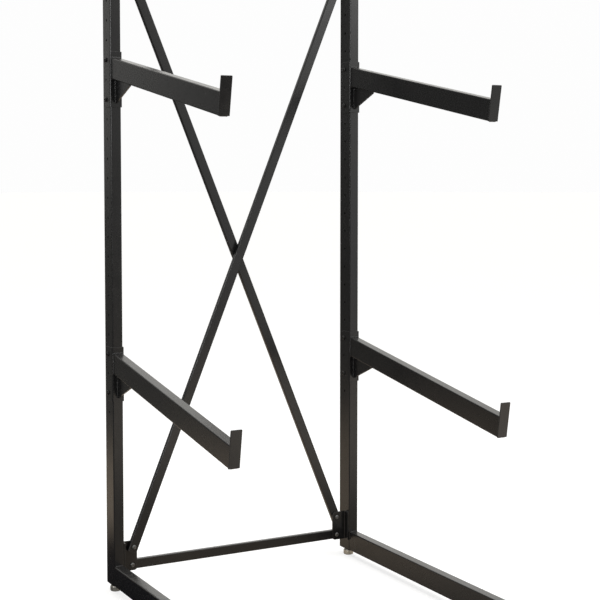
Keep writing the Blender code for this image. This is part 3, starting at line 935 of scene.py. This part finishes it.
def make_arm_welds(label):
    """Beads round the arm's root, along the gusset, and behind the end stop."""
    work = bmesh.new()
    low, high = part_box("arm_tube_" + label)
    slope = arm_slope(label)
    height = TUBE_DEPTH / math.cos(slope)
    outline = rounded_rectangle(high.x - low.x, height, [TUBE_CORNER] * 4, WELD_CORNER_STEPS)
    centre = Vector(((low.x + high.x) / 2, high.y, high.z - height / 2))
    path, out = [], []
    for (x, z), (next_x, next_z) in zip(outline, outline[1:] + outline[:1], strict=True):
        step = Vector((next_x - x, 0, next_z - z))
        count = max(1, round(step.length / WELD_STEP))
        for i in range(count):
            path.append(centre + Vector((x, 0, z)) + step * (i / count))
            out.append(Vector((step.z, 0, -step.x)).normalized())
    bead(work, path, out, [-BACK] * len(path), WELD_RADIUS, closed=True)

    arm = arm_axes(label)
    along = (arm.to_3x3() @ Vector((0, 0, 1))).normalized()
    up = (arm.to_3x3() @ Vector((0, 1, 0))).normalized()
    length = (high.y - low.y) / math.cos(slope)
    half = (high.x - low.x) / 2 - TUBE_CORNER
    for drop, side in ((0.0, up), (TUBE_DEPTH, -up)):
        start = arm @ Vector((-half, -drop, length))
        end = arm @ Vector((half, -drop, length))
        straight_bead(work, start, end, side, -along)

    low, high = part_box("arm_gusset_" + label)
    run = (high.y - low.y) / math.cos(slope) - 2 * WELD_RADIUS
    for x, side in ((low.x, -ACROSS), (high.x, ACROSS)):
        top, bottom = high.z - SMALL_WELD_RADIUS, low.z + SMALL_WELD_RADIUS
        straight_bead(work, (x, high.y, top), (x, high.y, bottom), side, -BACK)
        start = Vector((x, high.y, high.z)) + along * WELD_RADIUS
        straight_bead(work, start, start + along * run, side, -up)
    add_piece("weld_arm_" + label, work, COAT, "arm_" + label)


# Making everything ----------------------------------------------------------------------------

COAT = powder_coat("powder_coat", rubbed=False)
ARM_COAT = powder_coat("powder_coat_rubbed", rubbed=True)
BLACK_ZINC = plated(
    "black_zinc", dull=(0.020, 0.020, 0.022), bright=(0.050, 0.049, 0.047), worn_and_highlight=(0.30, 0.29, 0.27)
)
BOLT_ZINC = plated(
    "bolt_zinc", dull=(0.10, 0.10, 0.105), bright=(0.24, 0.24, 0.235), worn_and_highlight=(0.62, 0.61, 0.58)
)
ZINC = pale_zinc()
PLASTIC = black_plastic()

for side, _ in SIDES:
    make_upright(side)
    make_base_leg(side)
    make_leg_welds(side)
    make_cap("upright_cap_" + side, "upright_" + side, UP, BACK)
    make_cap("leg_cap_" + side, "base_leg_" + side, -BACK, UP)
    make_foot("foot_back_" + side)
    make_foot("foot_front_" + side)
for level in LEVELS:
    make_crossbar(level)
    for side, sign in SIDES:
        make_bracket(level, side, sign)
        make_bolt(f"bar_bolt_{level}_{side}", BACK, BOLT_ZINC)
        make_bolt(f"brace_bolt_{level}_{side}", BACK, BOLT_ZINC)
make_brace("brace_front", "brace_bolt_lower_left", "brace_bolt_upper_right")
make_brace("brace_rear", "brace_bolt_lower_right", "brace_bolt_upper_left")
for label in ARMS:
    make_arm_tube(label)
    make_saddle(label)
    make_gusset(label)
    make_end_stop(label)
    make_arm_welds(label)
    for end in ("low", "high"):
        make_bolt(f"arm_bolt_{label}_{end}", ACROSS, BLACK_ZINC)
for side, _ in SIDES:
    for nut, material in (("foot_nut_upright_", PLASTIC), ("foot_nut_leg_", ZINC)):
        coats = frame["nodes"][nut + side].data.materials
        coats.clear()
        coats.append(material)


# Stage ----------------------------------------------------------------------------------------

VIEW_TURN = math.radians(28.371)  # the camera's heading, from +Y towards +X
VIEW_DIP = math.radians(3.058)
CAMERA_PLACE = (-1.5914, -2.9288, 1.1116)
CAMERA_LENS = 80.88
CAMERA_SHIFT = -0.10

FLOOR_RADIUS = 60
FLOOR_SIDES = 96
FLOOR_SHADES = ((0.50, 0.50, 0.50), (0.52, 0.52, 0.52))
FLOOR_ROUGHNESS = 0.8
FLOOR_GLOW = 0.64  # lifts the floor towards white for the camera, under its soft shadows
FLOOR_FAR = (0.14, 0.138, 0.132)  # the studio's bare floor, which only the steel reflects
# (middle, length in widths, radius to where it is full, radius where it ends, colour)
FLOOR_PATCHES = (
    ((-0.30, 1.10, 0.0), 1.0, 0.8, 1.7, (0.56, 0.465, 0.37)),  # wood behind the rack
    ((1.30, -1.80, 0.0), 1.0, 1.2, 1.9, (0.95, 0.85, 0.75)),  # lit wood in front
    ((-0.56, 0.10, 0.0), 3.4, 0.20, 0.32, (0.02, 0.02, 0.024)),  # shade on the left
)
BACKDROP = 0.985
STUDIO_DARK = 0.13  # unlit sides of the studio, as the steel reflects them
STUDIO_BACK = 1.15  # lit background behind the rack
STUDIO_TOP = 1.1
STUDIO_TINT = (1.0, 0.985, 0.945)
# (direction, cosine where it begins, cosine where it is full, strength above the dark sides)
STUDIO_LIGHTS = (
    ((math.sin(VIEW_TURN), math.cos(VIEW_TURN), 0.35), 0.57, 0.88, STUDIO_BACK - STUDIO_DARK),
    ((0.0, 0.0, 1.0), 0.55, 0.95, STUDIO_TOP - STUDIO_DARK),
    ((0.35, -0.93, 0.15), 0.70, 0.97, 0.50),
    ((1.0, 0.1, 0.1), 0.70, 0.95, 0.45),
)
# (name, place, point that it faces, width and height, watts)
SOFTBOXES = (
    ("side_softbox", (-3.6, -1.9, 2.1), (0, 0, 1.2), (1.7, 1.9), 85),
    ("front_softbox", (2.0, -2.5, 1.3), (0, 0, 1.1), (1.6, 2.5), 8),
    ("front_top_softbox", (2.1, -2.5, 2.5), (0, 0, 1.3), (1.2, 1.0), 10),
    ("top_softbox", (0.5, -0.5, 4.0), (0, 0, 0), (2.5, 2.5), 60),
)


def make_floor():
    n = Nodes("pale_floor")
    clouds = n.noise(1.5, detail=3.0)
    colour = n.mix(clouds, *FLOOR_SHADES)
    bare = FLOOR_FAR
    for centre, length, full, end, tone in FLOOR_PATCHES:
        away = n.vector("SUBTRACT", n.place, centre)[0]
        narrowed = n.vector("MULTIPLY", away, (1.0, 1.0 / length, 1.0))[0]
        far = n.vector("LENGTH", narrowed)["Value"]
        bare = n.mix(n.remap(far, end, full), bare, tone)
    rays = n.add("ShaderNodeLightPath")
    glow = n.math("MULTIPLY", rays.outputs["Is Camera Ray"], FLOOR_GLOW)
    n.shader.inputs["Emission Color"].default_value = (1.0, 1.0, 1.0, 1.0)
    n.put(n.shader.inputs["Emission Strength"], glow)
    colour = n.mix(rays.outputs["Is Glossy Ray"], colour, bare)
    n.shader.inputs["Specular IOR Level"].default_value = 0.0
    work = bmesh.new()
    bmesh.ops.create_circle(work, cap_ends=True, radius=FLOOR_RADIUS, segments=FLOOR_SIDES)
    mesh = bpy.data.meshes.new("floor")
    work.to_mesh(mesh)
    work.free()
    mesh.materials.append(n.finish(colour, FLOOR_ROUGHNESS))
    floor = bpy.data.objects.new("floor", mesh)
    bpy.context.scene.collection.objects.link(floor)


def make_world():
    """White backdrop for the camera; the steel reflects a studio that is bright behind and above."""
    world = bpy.data.worlds.new("studio")
    world.use_nodes = True
    tree = world.node_tree
    background = tree.nodes["Background"]

    def add(kind, **settings):
        node = tree.nodes.new(kind)
        for key, value in settings.items():
            setattr(node, key, value)
        return node

    ray = add("ShaderNodeTexCoord").outputs["Generated"]

    def lobe(direction, edge, full, strength):
        """Light from round a direction: none below the cosine edge, all above the cosine full."""
        dot = add("ShaderNodeVectorMath", operation="DOT_PRODUCT")
        tree.links.new(ray, dot.inputs[0])
        dot.inputs[1].default_value = Vector(direction).normalized()
        ramp = add("ShaderNodeMapRange", interpolation_type="SMOOTHSTEP")
        tree.links.new(dot.outputs["Value"], ramp.inputs["Value"])
        for name, number in (("From Min", edge), ("From Max", full), ("To Max", strength)):
            ramp.inputs[name].default_value = number
        return ramp.outputs[0]

    total, *others = [lobe(*light) for light in STUDIO_LIGHTS]
    for light in others:
        both = add("ShaderNodeMath", operation="MAXIMUM")
        tree.links.new(total, both.inputs[0])
        tree.links.new(light, both.inputs[1])
        total = both.outputs[0]
    lit = add("ShaderNodeMath", operation="ADD")
    tree.links.new(total, lit.inputs[0])
    lit.inputs[1].default_value = STUDIO_DARK
    seen = add("ShaderNodeMix", data_type="FLOAT")
    camera_ray = add("ShaderNodeLightPath").outputs["Is Camera Ray"]
    tree.links.new(camera_ray, seen.inputs["Factor"])
    tree.links.new(lit.outputs[0], seen.inputs[2])
    seen.inputs[3].default_value = BACKDROP
    tree.links.new(seen.outputs[0], background.inputs["Strength"])
    tint = add("ShaderNodeMix", data_type="RGBA")
    tree.links.new(camera_ray, tint.inputs["Factor"])
    tint.inputs[6].default_value = (*STUDIO_TINT, 1.0)
    tint.inputs[7].default_value = (1.0, 1.0, 1.0, 1.0)
    tree.links.new(tint.outputs[2], background.inputs["Color"])
    bpy.context.scene.world = world


def add_softbox(name, at, target, size, power):
    light = bpy.data.lights.new(name, "AREA")
    light.shape = "RECTANGLE"
    light.size, light.size_y = size
    light.energy = power
    lamp = bpy.data.objects.new(name, light)
    lamp.visible_camera = False
    bpy.context.scene.collection.objects.link(lamp)
    lamp.location = at
    lamp.rotation_mode = "QUATERNION"
    lamp.rotation_quaternion = (Vector(target) - Vector(at)).to_track_quat("-Z", "Y")


def make_camera():
    camera = bpy.data.cameras.new("camera")
    camera.lens = CAMERA_LENS
    camera.shift_y = CAMERA_SHIFT
    camera.clip_end = 300
    item = bpy.data.objects.new("camera", camera)
    bpy.context.scene.collection.objects.link(item)
    level = math.cos(VIEW_DIP)
    looks = Vector(
        (math.sin(VIEW_TURN) * level, math.cos(VIEW_TURN) * level, -math.sin(VIEW_DIP))
    )
    item.location = CAMERA_PLACE
    item.rotation_mode = "QUATERNION"
    item.rotation_quaternion = looks.to_track_quat("-Z", "Y")
    bpy.context.scene.camera = item


make_floor()
make_world()
for softbox in SOFTBOXES:
    add_softbox(*softbox)
make_camera()
bpy.context.scene.view_settings.view_transform = "Standard"
